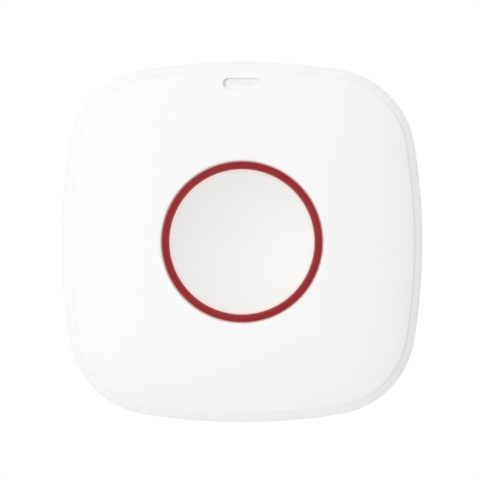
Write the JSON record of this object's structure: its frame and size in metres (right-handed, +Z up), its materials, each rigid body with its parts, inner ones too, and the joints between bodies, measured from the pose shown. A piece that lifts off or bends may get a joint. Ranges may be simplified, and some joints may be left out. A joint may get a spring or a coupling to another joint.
{
  "type": "wireless panic button",
  "caption": "Soft-square wall-hung panic button with a dished round press cap in a recessed red ring, an indicator slot, a coin-cell door and a hook-on bracket.",
  "frame": {"origin": "centre of the bracket's flat back face, on the wall", "axes": "+Z up, +Y into the wall, the front of the button faces -Y"},
  "size_m": [0.065, 0.017, 0.065],
  "materials": {
    "shell_white": "fine satin texture, white",
    "cap_white": "satin, warm white",
    "ring_red": "translucent deep red, semi-gloss",
    "lens_milk": "milky translucent",
    "bracket_white": "moulded white, light texture",
    "cell_steel": "nickel-plated, fine brushed",
    "spring_metal": "tin-plated strip",
    "board_green": "solder mask over glass laminate",
    "switch_black": "moulded black",
    "part_black": "moulded black epoxy",
    "can_metal": "tinned sheet",
    "led_white": "clear over pale yellow",
    "screw_zinc": "zinc-plated",
    "passive_tan": "fired ceramic with tinned ends",
    "antenna_copper": "tinned copper wire",
    "plunger_white": "low-friction natural plastic"
  },
  "bodies": {
    "wall_bracket": {"wall_bracket": "bracket_white"},
    "button": {"button_cap": "cap_white"},
    "switch_stem": {"key_switch_stem": "switch_black"},
    "tamper": {"tamper_plunger": "plunger_white", "tamper_switch_stem": "switch_black"},
    "battery_door": {"battery_door": "shell_white"},
    "unit": {"rear_housing": "shell_white", "front_cover": "shell_white", "accent_ring": "ring_red", "indicator_lens": "lens_milk", "coin_cell": "cell_steel", "battery_contact_positive": "spring_metal", "battery_contact_negative": "spring_metal", "circuit_board": "board_green", "key_switch_body": "switch_black", "key_switch_cover": "can_metal", "key_switch_terminals": "spring_metal", "indicator_led": "led_white", "radio_chip": "part_black", "radio_shield": "can_metal", "clock_crystal": "can_metal", "reservoir_capacitor": "part_black", "antenna": "antenna_copper", "chip_components": "passive_tan", "tamper_switch_body": "switch_black", "board_screws": "screw_zinc", "housing_screws": "screw_zinc"}
  },
  "joints": [
    {"name": "unit_lift", "type": "slide", "parent": "wall_bracket", "child": "unit", "axis": [0, 0, 1], "range_m": [0, 0.0032]},
    {"name": "button_press", "type": "slide", "parent": "unit", "child": "button", "axis": [0, 1, 0], "range_m": [0, 0.0006], "stiffness_N_per_m": 4000, "springref_m": -0.0003},
    {"name": "switch_stem_press", "type": "slide", "parent": "unit", "child": "switch_stem", "axis": [0, 1, 0], "range_m": [0, 0.0006]},
    {"name": "tamper_travel", "type": "slide", "parent": "unit", "child": "tamper", "axis": [0, 1, 0], "range_m": [0, 0.0008]},
    {"name": "battery_door_turn", "type": "hinge", "parent": "unit", "child": "battery_door", "pos_m": [0, -0.0033, 0], "axis": [0, 1, 0], "range_deg": [0, 45]}
  ],
  "couplings": [
    {"joint": "switch_stem_press", "follows": "button_press", "ratio": 1},
    {"joint": "tamper_travel", "follows": "unit_lift", "ratio": 0.25}
  ]
}
